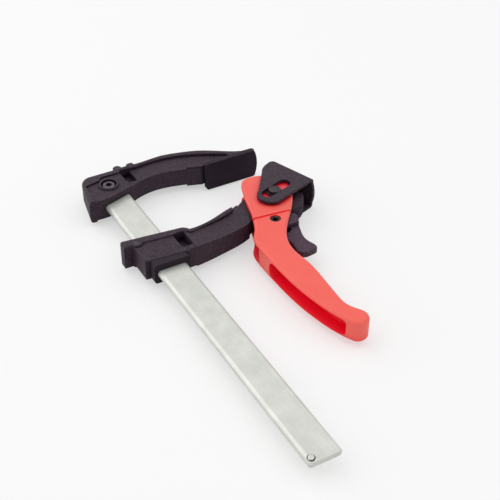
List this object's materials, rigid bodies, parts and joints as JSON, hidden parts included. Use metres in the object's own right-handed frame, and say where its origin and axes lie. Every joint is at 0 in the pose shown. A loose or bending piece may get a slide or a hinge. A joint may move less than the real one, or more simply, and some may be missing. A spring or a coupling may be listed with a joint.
{
  "type": "quick release bar clamp",
  "caption": "One-handed bar clamp with a fixed jaw, a jaw arm that slides on a flat bar, and a lever that pushes a swivelling pressure plate.",
  "frame": {"origin": "centre of the fixed jaw pad's clamping face", "axes": "+Y out of the jaw's back, along the bar from its free end to its head; -Y is the clamping face's outward normal; +X away from the bar; +Z through the thickness"},
  "size_m": [0.1418, 0.2877, 0.0232],
  "materials": {
    "zinc_bar": "satin, zinc plated",
    "black_coating": "slightly rough powder coat",
    "black_plastic": "matt",
    "screw_steel": "dark, worn bright at the socket",
    "dark_steel": "blackened",
    "spring_steel": "bright",
    "red_enamel": "satin enamel"
  },
  "bodies": {
    "bar_and_fixed_jaw": {"bar": "zinc_bar", "bar_end_stop": "zinc_bar", "fixed_jaw": "black_coating", "fixed_jaw_pad": "black_plastic", "fixed_jaw_screw": "screw_steel", "fixed_jaw_nut": "dark_steel", "fixed_jaw_lock_pin": "dark_steel"},
    "slider": {"sliding_arm": "black_coating", "guide_sleeve": "black_plastic", "upper_grip_pin": "dark_steel", "lower_grip_pin": "dark_steel", "drag_spring": "spring_steel"},
    "lever": {"lever": "red_enamel", "lever_bushes": "dark_steel", "trigger_pin": "dark_steel"},
    "trigger": {"trigger": "black_coating", "trigger_spring": "spring_steel", "pawl": "dark_steel", "pawl_rivet": "dark_steel"},
    "swivel_pin": {"pivot_pin": "dark_steel", "slot_bushes": "dark_steel"},
    "pressure_plate": {"pressure_plate": "black_coating"}
  },
  "joints": [
    {"name": "arm_slide", "type": "slide", "parent": "bar_and_fixed_jaw", "child": "slider", "axis": [0, 1, 0], "range_m": [-0.168, 0.0125]},
    {"name": "lever_hinge", "type": "hinge", "parent": "slider", "child": "lever", "pos_m": [0.0045, -0.0503, 0], "axis": [0, 0, 1], "range_deg": [0, 65]},
    {"name": "trigger_press", "type": "hinge", "parent": "lever", "child": "trigger", "pos_m": [-0.0091, -0.0746, 0], "axis": [0, 0, 1], "range_deg": [-6, 0], "stiffness_Nm_per_rad": 0.3, "springref_deg": 20.05},
    {"name": "plate_swivel", "type": "hinge", "parent": "slider", "child": "swivel_pin", "pos_m": [0.0045, -0.0503, 0], "axis": [0, 0, 1], "range_deg": [0, 70.9]},
    {"name": "plate_slide", "type": "slide", "parent": "swivel_pin", "child": "pressure_plate", "axis": [0.9449, 0.3272, 0], "range_m": [-0.00682, 0]}
  ],
  "couplings": [
    {"joint": "plate_slide", "follows": "lever_hinge", "m_per_rad": -0.006}
  ]
}
